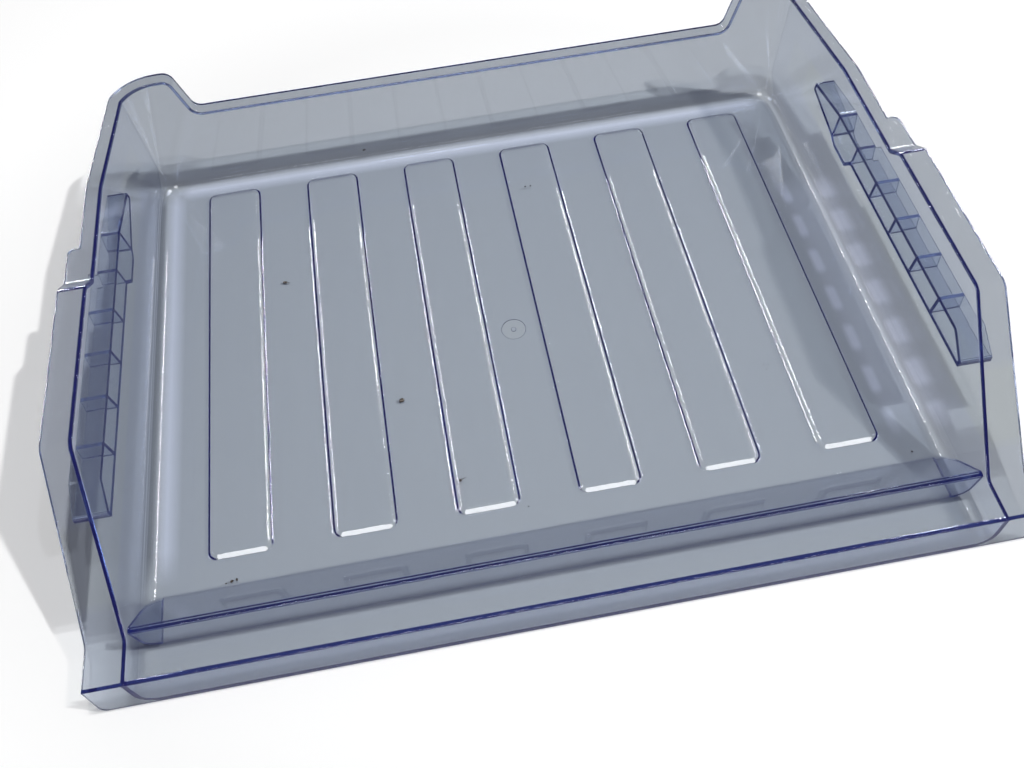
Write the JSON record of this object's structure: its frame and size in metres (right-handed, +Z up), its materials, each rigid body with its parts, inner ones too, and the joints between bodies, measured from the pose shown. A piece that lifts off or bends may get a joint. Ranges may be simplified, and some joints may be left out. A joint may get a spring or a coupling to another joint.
{
  "type": "fridge drawer",
  "caption": "Clear moulded fridge drawer with a front finger channel, embossed floor pads, outward rims and ribbed slide rails on both sides",
  "frame": {"origin": "the middle of the footprint, on the plane that the drawer stands on", "axes": "+X across the drawer to its right as seen from the front, +Y from its front to its back, +Z up"},
  "size_m": [0.481, 0.3749, 0.0885],
  "materials": {
    "clear_plastic": "clear glossy plastic with a faint blue-grey tint"
  },
  "bodies": {
    "root": {"drawer": "clear_plastic"}
  },
  "joints": []
}
